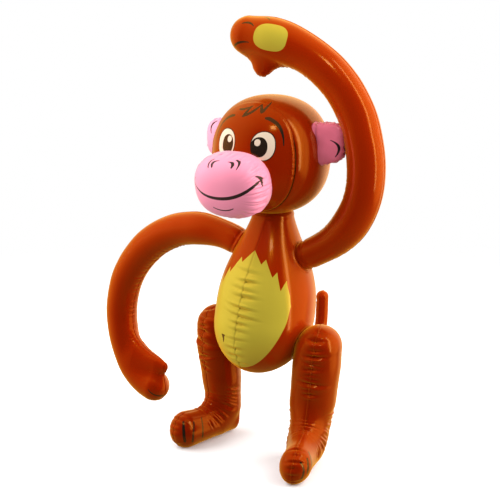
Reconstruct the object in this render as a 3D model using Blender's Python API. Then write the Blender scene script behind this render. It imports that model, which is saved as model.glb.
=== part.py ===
"""Inflatable toy monkey, standing on its feet with one arm up and one arm down.

Metres, +Z up. The monkey faces -Y and its own left is +X. The origin is on the
floor, under the middle of the whole toy. Every chamber is a sealed, air-filled
vinyl shape, so each is one solid; neighbours stop a hair short of each other
where they are welded together.
"""

import math

import bmesh
import bpy
from mathutils import Matrix, Vector

# --- Driving dimensions, in metres ---------------------------------------------------
WELD_GAP = 0.0003

# Torso: an egg below, drawn in to a neck above, leaning back as it rises.
TORSO_BOTTOM = 0.115
TORSO_WIDEST_Z = 0.190
TORSO_TOP = 0.349
TORSO_RADIUS = 0.067
NECK_RADIUS = 0.023
SHOULDER_FALL = 1.26
TORSO_LEAN = 0.13
TORSO_UPRIGHT_Z = 0.202

# Head: a ball set on the neck, round from above and a little square from the side.
HEAD_CENTRE = Vector((0.0, 0.011, 0.4045))
HEAD_RADIUS = 0.0766
HEAD_SQUARENESS = 2.25

# Muzzle: an oblate pad, wider than its weld to the face, looking slightly down.
MUZZLE_CENTRE = Vector((0.0, -0.070, 0.3747))
MUZZLE_SEMI_AXES = Vector((0.0525, 0.035, 0.0418))
MUZZLE_SQUARENESS = 2.1
MUZZLE_TILT = math.radians(12)

# Ears: flat pillows out from the sides of the head, swept back a little.
EAR_CENTRE = Vector((0.0812, 0.013, 0.4225))
EAR_SEMI_AXES = Vector((0.0232, 0.012, 0.0262))
EAR_SQUARENESS = 2.6
EAR_SWEEP = math.radians(14)

# A bent tube lies in an upright plane. It starts at (distance out, height) with a
# heading in degrees, 0 being outward and 90 up, and follows arcs of (length, turn in
# degrees). Its radii are (share of the length, radius), eased from one to the next.
ARM_RADII = ((0.0, 0.0170), (0.08, 0.0190), (0.25, 0.0224), (0.50, 0.0230), (1.0, 0.0230))

# Arms: each bends to a hook in a plane through the shoulders; distances run out from
# the middle of the body. The raised arm's plane swings a little to the back.
ARM_PLANE_Y = 0.012
RAISED_ARM_SWEEP = math.radians(8)
RAISED_ARM = (
    (0.032, 0.2648), 23, ((0.056, 10), (0.106, 54.5), (0.060, 18), (0.161, 60.5), (0.048, 1)),
    (*ARM_RADII[:-1], (0.68, 0.0231), (0.86, 0.0262), (1.0, 0.0245)),
)
RAISED_THUMB = ((-0.002, 0.545), -106, ((0.031, 0),), ((0.0, 0.0275), (0.45, 0.0205), (1.0, 0.0085)))
LOWERED_ARM = ((0.030, 0.2705), 30, ((0.190, -67), (0.056, -19), (0.149, -61), (0.064, -50)), ARM_RADII)
LOWERED_THUMB = ((0.240, 0.080), 188, ((0.050, 0),), ((0.0, 0.0205), (0.75, 0.0120), (1.0, 0.0065)))
THUMB_FLATNESS = 0.85

# Legs: each plane is turned out at the toe and may lean. Distances run forward from
# the point where the toe touches the floor.
LEG = (
    (-0.065, 0.160), -90, ((0.060, -6), (0.074, 6)),
    ((0.0, 0.0298), (0.2, 0.0303), (0.75, 0.0260), (1.0, 0.0248)),
)
FOOT = ((-0.086, 0.0213), 0.8, ((0.082, 0),), ((0.0, 0.0228), (0.4, 0.0243), (1.0, 0.0240)))
FOOT_FLATNESS = 0.86
HEEL_BLUNTNESS = 0.5
LEFT_TOE = (0.0903, -0.0716)
LEFT_TOE_OUT = math.radians(18.3)
LEFT_LEG_LEAN = math.tan(math.radians(5.6))
RIGHT_TOE = (-0.0925, -0.0615)
RIGHT_TOE_OUT = math.radians(-13.1)
RIGHT_LEG_LEAN = math.tan(math.radians(-1.6))

# Tail: a thin tube out of the back, curling up; distances run back from the middle.
TAIL = (
    (0.035, 0.128), -22, ((0.085, 27), (0.045, 80), (0.036, 5)),
    ((0.0, 0.0086), (0.5, 0.0092), (1.0, 0.0086)),
)

# Air valve: a plug on a round flange, low on the back beside the seam.
VALVE_HEIGHT = 0.177
VALVE_SIDEWAYS = 0.018
VALVE_PROFILE = ((0.0105, 0.0), (0.0105, 0.0012), (0.0058, 0.0018), (0.0052, 0.0060), (0.0044, 0.0068))
VALVE_SUNK = 0.003

# --- Facets ---------------------------------------------------------------------------
BODY_SEGMENTS = 28
TORSO_ROWS = 20
HEAD_ROWS = 18
MUZZLE_FACETS = (26, 16)
EAR_FACETS = (20, 12)
VALVE_SEGMENTS = 16
TUBE_SEGMENTS = 18
THIN_TUBE_SEGMENTS = 12
TUBE_STEP = 0.013
CAP_ROWS = 4
SHARP_ANGLE = math.radians(50)

# --- Finishes: name, colour, roughness ------------------------------------------------
BROWN_VINYL = ("brown vinyl", (0.42, 0.085, 0.012), 0.22)
PINK_VINYL = ("pink vinyl", (0.86, 0.28, 0.42), 0.25)
VALVE_VINYL = ("valve vinyl", (0.55, 0.16, 0.05), 0.30)


def clear_scene():
    for obj in list(bpy.data.objects):
        bpy.data.objects.remove(obj, do_unlink=True)


def vinyl(name, colour, roughness):
    material = bpy.data.materials.get(name) or bpy.data.materials.new(name)
    material.use_nodes = True
    shader = material.node_tree.nodes["Principled BSDF"]
    shader.inputs["Base Color"].default_value = (*colour, 1.0)
    shader.inputs["Roughness"].default_value = roughness
    shader.inputs["Metallic"].default_value = 0.0
    return material


def add_object(name, bm, parent, finish=None):
    """A named object from a bmesh. Without a finish it is a hidden helper."""
    bmesh.ops.recalc_face_normals(bm, faces=bm.faces)
    mesh = bpy.data.meshes.new(name)
    bm.to_mesh(mesh)
    bm.free()
    mesh.shade_smooth()
    mesh.set_sharp_from_angle(angle=SHARP_ANGLE)
    obj = bpy.data.objects.new(name, mesh)
    bpy.context.scene.collection.objects.link(obj)
    obj.parent = parent
    if finish:
        mesh.materials.append(vinyl(*finish))
    else:
        obj.hide_render = True
        obj.display_type = "WIRE"
    return obj


def boolean(obj, operation, tool):
    modifier = obj.modifiers.new(f"{operation.lower()} {tool.name}", "BOOLEAN")
    modifier.operation = operation
    modifier.object = tool


# --- Round bodies -----------------------------------------------------------------------
def torso_radius(z):
    if z < TORSO_WIDEST_Z:
        drop = (TORSO_WIDEST_Z - z) / (TORSO_WIDEST_Z - TORSO_BOTTOM)
        return TORSO_RADIUS * math.sqrt(max(0.0, 1 - drop * drop))
    rise = (z - TORSO_WIDEST_Z) / (TORSO_TOP - TORSO_WIDEST_Z)
    swell = 0.5 + 0.5 * math.cos(math.pi * min(1.0, rise) ** SHOULDER_FALL)
    return NECK_RADIUS + (TORSO_RADIUS - NECK_RADIUS) * swell


def torso_centre_y(z):
    return (z - TORSO_UPRIGHT_Z) * TORSO_LEAN


def torso_mesh(grow=0.0):
    """The egg and neck, made from a ball whose rows are moved to their own heights."""
    bm = bmesh.new()
    bmesh.ops.create_uvsphere(bm, u_segments=BODY_SEGMENTS, v_segments=TORSO_ROWS, radius=1.0)
    for vert in bm.verts:
        polar = math.acos(max(-1.0, min(1.0, -vert.co.z)))
        around = math.atan2(vert.co.y, vert.co.x)
        if polar < math.pi / 2:
            z = TORSO_WIDEST_Z - (TORSO_WIDEST_Z - TORSO_BOTTOM) * math.cos(polar)
        else:
            z = TORSO_WIDEST_Z + (TORSO_TOP - TORSO_WIDEST_Z) * (polar / (math.pi / 2) - 1)
        radius = torso_radius(z) + grow if math.sin(polar) > 1e-6 else 0.0
        if z < TORSO_WIDEST_Z:
            z -= grow * math.cos(polar)
        vert.co = (radius * math.cos(around), radius * math.sin(around) + torso_centre_y(z), z)
    return bm


def superellipsoid(centre, semi_axes, power, facets, turn):
    """A ball pressed towards a box by power, then turned about its own centre."""
    bm = bmesh.new()
    segments, rows = facets
    bmesh.ops.create_uvsphere(bm, u_segments=segments, v_segments=rows, radius=1.0)
    for vert in bm.verts:
        size = sum(abs(value) ** power for value in vert.co) ** (1 / power)
        vert.co = Vector(a * b for a, b in zip(vert.co / size, semi_axes))
    bmesh.ops.rotate(bm, verts=bm.verts, cent=(0, 0, 0), matrix=turn)
    bmesh.ops.translate(bm, verts=bm.verts, vec=centre)
    return bm


def head_mesh(grow=0.0):
    bm = bmesh.new()
    bmesh.ops.create_uvsphere(bm, u_segments=BODY_SEGMENTS, v_segments=HEAD_ROWS, radius=HEAD_RADIUS + grow)
    for vert in bm.verts:
        out, up = math.hypot(vert.co.x, vert.co.y), abs(vert.co.z)
        size = (out**HEAD_SQUARENESS + up**HEAD_SQUARENESS) ** (1 / HEAD_SQUARENESS)
        vert.co = HEAD_CENTRE + vert.co * (HEAD_RADIUS + grow) / size
    return bm


# --- Tubes --------------------------------------------------------------------------------
def eased(pairs, share):
    """The value at a share of the way along, easing in and out between the given pairs."""
    for (low, first), (high, second) in zip(pairs, pairs[1:]):
        if share <= high:
            t = (share - low) / (high - low)
            return first + (second - first) * t * t * (3 - 2 * t)
    return pairs[-1][1]


def tube_rows(start, heading, arcs, radii, blunt=1.0):
    """Rows (u, z, heading, radius) along a bent tube, closed like half a ball at each
    end; blunt shortens the closing at the start."""
    total = sum(length for length, _ in arcs)
    u, z = start
    angle = math.radians(heading)
    rows = [(u, z, angle, radii[0][1])]
    run = 0.0
    for length, turn in arcs:
        steps = max(1, round(length / TUBE_STEP))
        bend = math.radians(turn) / steps
        for _ in range(steps):
            u += length / steps * math.cos(angle + bend / 2)
            z += length / steps * math.sin(angle + bend / 2)
            angle += bend
            run += length / steps
            rows.append((u, z, angle, eased(radii, run / total)))

    def cap(row, direction, depth):
        u, z, angle, radius = row
        closing = []
        for step in range(1, CAP_ROWS + 1):
            turn = math.pi / 2 * step / CAP_ROWS
            reach = direction * depth * radius * math.sin(turn)
            ring = (u + reach * math.cos(angle), z + reach * math.sin(angle))
            closing.append((*ring, angle, radius * math.cos(turn)))
        return closing

    return cap(rows[0], -1, blunt)[::-1] + rows + cap(rows[-1], 1, 1.0)


def tube_mesh(tube, place, across, flatness=1.0, blunt=1.0, segments=TUBE_SEGMENTS):
    """A bent tube in a plane. place(u, z) gives the point in space and across is the
    plane's normal; flatness scales the tube along that normal."""
    rows = tube_rows(*tube, blunt)
    bm = bmesh.new()
    bmesh.ops.create_uvsphere(bm, u_segments=segments, v_segments=len(rows) - 1, radius=1.0)
    for vert in bm.verts:
        polar = math.acos(max(-1.0, min(1.0, vert.co.z)))
        around = math.atan2(vert.co.y, vert.co.x)
        u, z, angle, radius = rows[round(polar / math.pi * (len(rows) - 1))]
        inner = radius * math.cos(around)
        ring = place(u - inner * math.sin(angle), z + inner * math.cos(angle))
        vert.co = ring + across * radius * flatness * math.sin(around)
    return bm


def limb_plane(foot_point, turn_out, lean):
    """place(u, z) and the normal of an upright plane through a point on the floor."""
    forward = Vector((math.sin(turn_out), -math.cos(turn_out), 0))
    normal = Vector((math.cos(turn_out), math.sin(turn_out), 0))
    start = Vector((*foot_point, 0))

    def place(u, z):
        return start + forward * u + normal * z * lean + Vector((0, 0, z))

    return place, normal


def arm_plane(side, sweep):
    """The same for an arm: u runs out from the middle of the body on its own side."""
    outward = Vector((side * math.cos(sweep), math.sin(sweep), 0))
    normal = Vector((-outward.y, outward.x, 0))

    def place(u, z):
        return Vector((0, ARM_PLANE_Y, z)) + outward * u

    return place, normal


def add_arm(name, side, sweep, stations, thumb, parent, cutters):
    place, normal = arm_plane(side, sweep)
    arm = add_object(name, tube_mesh(stations, place, normal), parent, BROWN_VINYL)
    thumb_mesh = tube_mesh(thumb, place, normal, THUMB_FLATNESS)
    boolean(arm, "UNION", add_object(f"{name}_thumb_blank", thumb_mesh, parent))
    for cutter in cutters:
        boolean(arm, "DIFFERENCE", cutter)
    return arm


def add_leg(name, toe, turn_out, lean, parent, cutters):
    place, normal = limb_plane(toe, turn_out, lean)
    leg = add_object(name, tube_mesh(LEG, place, normal), parent, BROWN_VINYL)
    foot_mesh = tube_mesh(FOOT, place, normal, FOOT_FLATNESS, HEEL_BLUNTNESS)
    boolean(leg, "UNION", add_object(f"{name}_foot_blank", foot_mesh, parent))
    for cutter in cutters:
        boolean(leg, "DIFFERENCE", cutter)
    return leg


def add_valve(parent, cutter):
    """A turned plug whose axis stands square to the back of the torso."""
    bm = bmesh.new()
    outline = [(0.0, -VALVE_SUNK), (VALVE_PROFILE[0][0], -VALVE_SUNK), *VALVE_PROFILE]
    outline.append((0.0, VALVE_PROFILE[-1][1]))
    verts = [bm.verts.new((radius, 0, height)) for radius, height in outline]
    edges = [bm.edges.new(pair) for pair in zip(verts, verts[1:])]
    bmesh.ops.spin(bm, geom=verts + edges, cent=(0, 0, 0), axis=(0, 0, 1),
                   angle=2 * math.pi, steps=VALVE_SEGMENTS, use_merge=True)
    bmesh.ops.remove_doubles(bm, verts=bm.verts, dist=1e-6)
    radius = torso_radius(VALVE_HEIGHT)
    back = Vector((VALVE_SIDEWAYS, math.sqrt(radius**2 - VALVE_SIDEWAYS**2), 0))
    turn = back.normalized().to_track_quat("Z", "Y").to_matrix()
    bmesh.ops.rotate(bm, verts=bm.verts, cent=(0, 0, 0), matrix=turn)
    seat = back + Vector((0, torso_centre_y(VALVE_HEIGHT), VALVE_HEIGHT))
    bmesh.ops.translate(bm, verts=bm.verts, vec=seat)
    valve = add_object("air_valve", bm, parent, VALVE_VINYL)
    boolean(valve, "DIFFERENCE", cutter)
    return valve


def floor_cutter(parent):
    """A block whose top is the floor: it gives each foot its flat sole."""
    bm = bmesh.new()
    bmesh.ops.create_cube(bm, size=1.0)
    bmesh.ops.translate(bm, verts=bm.verts, vec=(0, 0, -0.5))
    return add_object("floor_blank", bm, parent)


def centre_on_origin(root, pieces):
    """Moves the whole toy so that the middle of its box stands over the origin."""
    bpy.context.view_layer.update()
    graph = bpy.context.evaluated_depsgraph_get()
    corners = [
        piece.matrix_world @ Vector(corner)
        for piece in pieces
        for corner in piece.evaluated_get(graph).bound_box
    ]
    for axis in (0, 1):
        values = [corner[axis] for corner in corners]
        root.location[axis] = -(min(values) + max(values)) / 2


def main():
    clear_scene()
    root = bpy.data.objects.new("monkey", None)
    bpy.context.scene.collection.objects.link(root)

    torso_cutter = add_object("torso_blank", torso_mesh(WELD_GAP), root)
    head_cutter = add_object("head_blank", head_mesh(WELD_GAP), root)
    floor = floor_cutter(root)

    torso = add_object("torso", torso_mesh(), root, BROWN_VINYL)
    boolean(torso, "DIFFERENCE", head_cutter)
    head = add_object("head", head_mesh(), root, BROWN_VINYL)
    muzzle = add_object(
        "muzzle",
        superellipsoid(MUZZLE_CENTRE, MUZZLE_SEMI_AXES, MUZZLE_SQUARENESS, MUZZLE_FACETS,
                       Matrix.Rotation(MUZZLE_TILT, 3, "X")),
        root,
        PINK_VINYL,
    )
    boolean(muzzle, "DIFFERENCE", head_cutter)
    pieces = [torso, head, muzzle]

    for name, side in (("ear_left", 1), ("ear_right", -1)):
        centre = Vector((side * EAR_CENTRE.x, EAR_CENTRE.y, EAR_CENTRE.z))
        sweep = Matrix.Rotation(side * EAR_SWEEP, 3, "Z")
        ear = superellipsoid(centre, EAR_SEMI_AXES, EAR_SQUARENESS, EAR_FACETS, sweep)
        pieces.append(add_object(name, ear, root, PINK_VINYL))
        boolean(pieces[-1], "DIFFERENCE", head_cutter)

    pieces.append(add_arm("arm_left", 1, RAISED_ARM_SWEEP, RAISED_ARM, RAISED_THUMB,
                          root, [torso_cutter]))
    pieces.append(add_arm("arm_right", -1, 0.0, LOWERED_ARM, LOWERED_THUMB,
                          root, [torso_cutter]))
    pieces.append(add_leg("leg_left", LEFT_TOE, LEFT_TOE_OUT, LEFT_LEG_LEAN,
                          root, [torso_cutter, floor]))
    pieces.append(add_leg("leg_right", RIGHT_TOE, RIGHT_TOE_OUT, RIGHT_LEG_LEAN,
                          root, [torso_cutter, floor]))

    tail_place, tail_normal = limb_plane((0, 0), math.pi, 0.0)
    tail_mesh = tube_mesh(TAIL, tail_place, tail_normal, segments=THIN_TUBE_SEGMENTS)
    tail = add_object("tail", tail_mesh, root, BROWN_VINYL)
    boolean(tail, "DIFFERENCE", torso_cutter)
    pieces += [tail, add_valve(root, torso_cutter)]
    centre_on_origin(root, pieces)


main()
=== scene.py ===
"""Looks of the inflatable toy monkey: film skins, seams, prints, valve and studio.

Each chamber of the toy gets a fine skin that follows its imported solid, with the weld
seams, puckers and creases of blown-up vinyl film worked into the mesh. Prints are drawn
by the materials, in millimetres on the flattened film. Lengths here are in metres unless
a name says otherwise. The monkey faces -Y and its own left is +X.
"""

import math

import bmesh
import bpy
import numpy as np
from mathutils import Matrix, Vector


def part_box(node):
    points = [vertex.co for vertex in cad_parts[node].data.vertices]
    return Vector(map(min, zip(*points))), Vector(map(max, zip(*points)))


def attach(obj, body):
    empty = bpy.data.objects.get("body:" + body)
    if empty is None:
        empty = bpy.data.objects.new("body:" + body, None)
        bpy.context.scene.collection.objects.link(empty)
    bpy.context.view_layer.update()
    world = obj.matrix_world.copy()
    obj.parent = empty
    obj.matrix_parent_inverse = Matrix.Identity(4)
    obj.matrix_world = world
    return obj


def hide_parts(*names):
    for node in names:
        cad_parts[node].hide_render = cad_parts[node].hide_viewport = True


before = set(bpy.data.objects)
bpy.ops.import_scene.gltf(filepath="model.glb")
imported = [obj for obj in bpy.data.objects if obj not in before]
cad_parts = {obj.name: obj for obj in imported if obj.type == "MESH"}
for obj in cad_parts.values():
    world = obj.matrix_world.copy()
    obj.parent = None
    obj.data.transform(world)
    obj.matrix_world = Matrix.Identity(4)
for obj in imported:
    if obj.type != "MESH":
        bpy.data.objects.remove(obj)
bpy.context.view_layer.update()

MM = 0.001

# --- Driving dimensions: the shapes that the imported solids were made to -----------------
TORSO_BOTTOM = 0.1163
TORSO_WIDEST_Z = 0.190
TORSO_TOP = 0.349
TORSO_RADIUS = 0.067
NECK_RADIUS = 0.023
SHOULDER_FALL = 1.26
TORSO_LEAN = 0.14
TORSO_LOW_LEAN = 0.20
TORSO_UPRIGHT_Z = 0.202

HEAD_ABOVE = Vector((0.0, 0.011, 0.4045))
HEAD_RADIUS = 0.0766
HEAD_SQUARENESS = 2.25

MUZZLE_ABOVE = Vector((0.0, -0.070, 0.3747))
MUZZLE_SEMI_AXES = Vector((0.0525, 0.035, 0.0418))
MUZZLE_SQUARENESS = 2.42
MUZZLE_TILT = math.radians(12)
MUZZLE_SKIN_SHIFT = Vector((-0.0014, -0.0018, 0.0))
MUZZLE_SKIN_SWELL = Vector((-0.0022, 0.0, -0.0008))

EAR_ABOVE = Vector((0.0812, 0.013, 0.4225))
EAR_SEMI_AXES = Vector((0.0232, 0.012, 0.0262))
EAR_SQUARENESS = {1: 4.0, -1: 2.35}
EAR_SWEEP = math.radians(14)
EAR_SKIN_SHIFT = {1: Vector((0.0018, 0.0013, 0.0006)), -1: Vector((-0.0022, 0, -0.0024))}

# A bent tube starts at (distance out, height) with a heading in degrees, follows arcs of
# (length, turn in degrees), and has radii of (share of the length, radius).
ARM_RADII = ((0.0, 0.0170), (0.08, 0.0190), (0.25, 0.0224), (0.50, 0.0230), (1.0, 0.0230))
ARM_PLANE_Y = 0.012
RAISED_ARM_SWEEP = math.radians(8)
RAISED_ARM = (
    (0.0312, 0.2648), 23, ((0.056, 10), (0.106, 54.9), (0.060, 18), (0.161, 59.8), (0.0464, 8)),
    (*ARM_RADII[:2], (0.25, 0.0240), (0.5, 0.0243), (0.66, 0.0242), (0.78, 0.0244), (0.92, 0.0280),
     (1.0, 0.0247)),
)
RAISED_THUMB = ((-0.008, 0.532), -106, ((0.0190, 0),), ((0.0, 0.0130), (1.0, 0.0098)))
LOWERED_ARM = (
    (0.030, 0.2705), 30, ((0.190, -67.5), (0.056, -19), (0.149, -60.6), (0.0597, -50)),
    (*ARM_RADII[:2], (0.22, 0.0230), (0.42, 0.0242), (0.66, 0.0232), (0.85, 0.0222), (1.0, 0.0228)),
)
LOWERED_THUMB = ((0.238, 0.0810), 187.2, ((0.0485, 0),), ((0.0, 0.0180), (0.75, 0.0105), (1.0, 0.0060)))
THUMB_FLATNESS = 0.85
# How a branch melts into its tube: tightly and widely, the wide part's reach from the seam
# plane, and where it grows from tight to wide, outward or forward.
RAISED_WEB = (0.006, 0.030, 0.016, -1.0, -0.9)
LOWERED_WEB = (0.008, 0.028, 0.018, -1.0, -0.9)
LEG = ((-0.065, 0.160), -90, ((0.060, -6), (0.058, 5)))
LEFT_LEG = (*LEG, ((0.0, 0.0309), (0.2, 0.0317), (0.6, 0.0307), (0.9, 0.0278), (1.0, 0.0262)))
RIGHT_LEG = (*LEG, ((0.0, 0.0292), (0.2, 0.0306), (0.6, 0.0280), (0.9, 0.0256), (1.0, 0.0250)))
FOOT = ((-0.084, 0.0210), 1.5, ((0.080, 0),), ((0.0, 0.0202), (0.4, 0.0216), (1.0, 0.0252)))
FOOT_FLATNESS = 0.83
HEEL_BLUNTNESS = 0.5
LEFT_ANKLE_WEB = (0.009, 0.058, 0.030, -0.082, -0.058)
RIGHT_ANKLE_WEB = (0.006, 0.031, 0.020, -0.082, -0.058)
LEFT_TOE = (0.0911, -0.0712)
LEFT_TOE_OUT = math.radians(18.3)
LEFT_LEG_LEAN = math.tan(math.radians(5.6))
RIGHT_TOE = (-0.0925, -0.0615)
RIGHT_TOE_OUT = math.radians(-13.1)
RIGHT_LEG_LEAN = math.tan(math.radians(-1.6))
TAIL = (
    (0.035, 0.128), -22, ((0.085, 27), (0.045, 80), (0.036, 5)),
    ((0.0, 0.0088), (0.5, 0.0092), (1.0, 0.0090)),
)

# Where the body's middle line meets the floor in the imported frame, from the head's box.
HEAD_LOW, HEAD_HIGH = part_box("head")
BODY_ORIGIN = Vector(((HEAD_LOW.x + HEAD_HIGH.x) / 2, (HEAD_LOW.y + HEAD_HIGH.y) / 2 - HEAD_ABOVE.y, 0))
HEAD_CENTRE = BODY_ORIGIN + HEAD_ABOVE
HEAD_SKIN_SHIFT = Vector((0.0008, 0.0006, -0.0003))
MUZZLE_CENTRE = BODY_ORIGIN + MUZZLE_ABOVE

# --- Mesh fineness ----------------------------------------------------------------------
COARSEN = 1
FILM_VOXEL = 0.00112 * COARSEN
SAMPLE_STEP = 0.002
TUBE_SEGMENTS = 48
CAP_ROWS = 8
CROWDING_STEPS = 4001
POINTS_AT_A_TIME = 20000
NOT_ZERO = 1e-12
TORSO_FACETS = (280 // COARSEN, 256 // COARSEN)
HEAD_FACETS = (280 // COARSEN, 236 // COARSEN)
MUZZLE_FACETS = (300 // COARSEN, 120 // COARSEN)
EAR_FACETS = (200 // COARSEN, 90 // COARSEN)

# --- Finishes, linear colours -----------------------------------------------------------
BROWN = (0.31, 0.0098, 0.0003)
# The head, arms and legs take the torso's brown scaled for painted light and shade: darker on the head
# and legs as painted shade, lighter on the arms as painted light.
HEAD_SHADED_BROWN = (0.262, 0.0086, 0.0003)
ARM_LIT_BROWN = (0.34, 0.0109, 0.0003)
LEG_SHADED_BROWN = (0.252, 0.0064, 0.0002)
PINK = (1.0, 0.31, 0.45)
EAR_PINK = {1: (0.86, 0.17, 0.26), -1: (1.0, 0.36, 0.52)}
YELLOW = (0.52, 0.415, 0.040)
PRINT_BLACK = (0.012, 0.010, 0.009)
EYE_WHITE = (0.83, 0.68, 0.52)
VALVE_ORANGE = (0.55, 0.16, 0.05)


# --- Mesh helpers -----------------------------------------------------------------------
def points_of(mesh):
    points = np.empty(len(mesh.vertices) * 3, np.float32)
    mesh.vertices.foreach_get("co", points)
    return points.reshape(-1, 3).astype(float)


def set_points(mesh, points):
    mesh.vertices.foreach_set("co", points.astype(np.float32).ravel())
    mesh.update()


def normals_of(mesh):
    normals = np.empty(len(mesh.vertices) * 3, np.float32)
    mesh.vertex_normals.foreach_get("vector", normals)
    return normals.reshape(-1, 3).astype(float)


def mesh_from(bm, name):
    mesh = bpy.data.meshes.new(name)
    bm.to_mesh(mesh)
    bm.free()
    return mesh


def raised(mesh, height):
    """Moves each vertex along its normal by its height."""
    set_points(mesh, points_of(mesh) + normals_of(mesh) * np.asarray(height)[:, None])


def mark(mesh, name, values):
    """Stores one number for each vertex, for the materials to read."""
    layer = mesh.attributes.new(name, "FLOAT", "POINT")
    layer.data.foreach_set("value", np.asarray(values, np.float32))


def mark_unfolded(mesh, points):
    """Stores where each point of the film lay before it puckered, for the prints."""
    layer = mesh.attributes.new("unfolded", "FLOAT_VECTOR", "POINT")
    layer.data.foreach_set("vector", points.astype(np.float32).ravel())


def add_skin(node, mesh, material):
    """Shows a finished skin in place of the node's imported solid."""
    name = f"{node}_skin"
    mesh.name = name
    mesh.shade_smooth()
    mesh.materials.clear()
    mesh.materials.append(material)
    piece = bpy.data.objects.new(name, mesh)
    bpy.context.scene.collection.objects.link(piece)
    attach(piece, "root")
    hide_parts(node)


def ball(facets):
    """A fine ball as a mesh, with each vertex's angle down from its pole and around it."""
    bm = bmesh.new()
    columns, rows = facets
    bmesh.ops.create_uvsphere(bm, u_segments=columns, v_segments=rows, radius=1.0)
    mesh = mesh_from(bm, "ball")
    points = points_of(mesh)
    down = np.arccos(np.clip(points[:, 2], -1, 1))
    around = np.arctan2(points[:, 1], points[:, 0])
    return mesh, down, around


def crowded(angles, low, high, centres, width, strength):
    """Moves evenly spread angles closer together around the given centres."""
    grid = np.linspace(low, high, CROWDING_STEPS)
    density = 1 + strength * sum(np.exp(-(((grid - centre) / width) ** 2)) for centre in centres)
    share = np.concatenate([[0], np.cumsum((density[1:] + density[:-1]) / 2)])
    return np.interp((angles - low) / (high - low), share / share[-1], grid)


def squared(vectors, power):
    """The length of vectors in the measure that presses a ball towards a box."""
    return (np.abs(vectors) ** power).sum(axis=1) ** (1 / power)


# --- Film relief ------------------------------------------------------------------------
# Ridges and grooves are (height, place, width), and folds are (depth, width, reach, tilt).
# The gentle unevenness of the blown film on each chamber, as (height, length).
TORSO_SWELL = (0.0002, 0.06)
HEAD_SWELL = (0.00015, 0.06)
MUZZLE_SWELL = (0.00015, 0.04)
EAR_SWELL = (0.0003, 0.02)
LIMB_SWELL = (0.00018, 0.05)
LIMB_SWELL_SEED = 5


def bump(values, width):
    return np.exp(-((values / width) ** 2))


def cusp(values, width):
    return np.exp(-np.abs(values) / width)


def spine(values, height, width):
    """A sharp ridge along a seam."""
    return height * cusp(values, width)


def ridge(values, height, at, width):
    """A rounded ridge, or a groove of negative height, where values pass a place."""
    return height * bump(values - at, width)


def gathers(along, across, spots, rng, depth, width, reach, tilt=0.08):
    """Short sharp folds across a seam, each its own depth, width, reach and tilt."""
    height = np.zeros_like(along)
    for spot in spots:
        own_depth = depth * rng.uniform(0.4, 1.0)
        own_width = width * rng.uniform(0.7, 1.3)
        own_reach = reach * rng.uniform(0.6, 1.2)
        shift = own_reach * rng.uniform(-0.3, 0.3)
        line = (along - spot - tilt * rng.uniform(-1, 1) * across) / own_width
        swell = 0.5 * bump(line - 1.8, 1.1)
        height += own_depth * (swell - cusp(line, 1.0)) * bump(across - shift, own_reach)
    return height


def scattered(low, high, spacing, rng):
    """Unevenly spread places between low and high."""
    places = []
    place = low + spacing * rng.uniform(0.2, 1.0)
    while place < high:
        places.append(place)
        place += spacing * rng.uniform(0.5, 1.6)
    return places


def waviness(points, rng, height, length, waves=9):
    """Gentle uneven swell of blown film."""
    total = np.zeros(len(points))
    for _ in range(waves):
        direction = rng.normal(size=3)
        direction /= np.linalg.norm(direction)
        turn = 2 * math.pi / (length * rng.uniform(0.7, 1.6))
        total += np.sin(points @ direction * turn + rng.uniform(0, 2 * math.pi))
    return height * total / math.sqrt(waves)


# --- Torso ------------------------------------------------------------------------------
def torso_radius(z):
    drop = np.clip((TORSO_WIDEST_Z - z) / (TORSO_WIDEST_Z - TORSO_BOTTOM), 0, 1)
    rise = np.clip((z - TORSO_WIDEST_Z) / (TORSO_TOP - TORSO_WIDEST_Z), 0, 1)
    below = TORSO_RADIUS * np.sqrt(1 - drop**2)
    swell = 0.5 + 0.5 * np.cos(math.pi * rise**SHOULDER_FALL)
    above = NECK_RADIUS + (TORSO_RADIUS - NECK_RADIUS) * swell
    return np.where(z < TORSO_WIDEST_Z, below, above)


def torso_centre_y(z):
    return (z - TORSO_UPRIGHT_Z) * np.where(z > TORSO_UPRIGHT_Z, TORSO_LEAN, TORSO_LOW_LEAN)


def outside_torso(points):
    """Roughly how far points stand outside the torso's skin."""
    local = points - np.array(BODY_ORIGIN)
    z = local[:, 2]
    return np.hypot(local[:, 0], local[:, 1] - torso_centre_y(z)) - torso_radius(z)


def outside_head(points):
    local = points - np.array(HEAD_CENTRE)
    size = squared(np.stack([np.hypot(local[:, 0], local[:, 1]), local[:, 2]], 1), HEAD_SQUARENESS)
    return size - HEAD_RADIUS


# --- Bent tubes -------------------------------------------------------------------------
def eased(pairs, shares):
    """Values at shares of the way along, easing in and out between the given pairs."""
    values = np.full_like(shares, pairs[-1][1])
    for (low, first), (high, second) in reversed(list(zip(pairs, pairs[1:]))):
        t = np.clip((shares - low) / (high - low), 0, 1)
        values = np.where(shares <= high, first + (second - first) * t * t * (3 - 2 * t), values)
    return values


def centre_line(tube, straight=False):
    """Points, headings, runs and radii along a tube's middle, as arrays."""
    start, heading, arcs, radii = tube
    place = np.array(start, float)
    angle = math.radians(heading)
    places, angles, runs = [place], [angle], [0.0]
    for length, turn in arcs:
        steps = max(1, round(length / SAMPLE_STEP))
        bend = math.radians(turn) / steps
        for _ in range(steps):
            middle = angle + bend / 2
            place = place + length / steps * np.array([math.cos(middle), math.sin(middle)])
            angle += bend
            places.append(place)
            angles.append(angle)
            runs.append(runs[-1] + length / steps)
    runs = np.array(runs)
    angles = np.array(angles)
    tangents = np.stack([np.cos(angles), np.sin(angles)], 1)
    shares = runs / runs[-1]
    widths = np.interp(shares, *zip(*radii)) if straight else eased(radii, shares)
    return np.array(places), tangents, runs, widths


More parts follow.
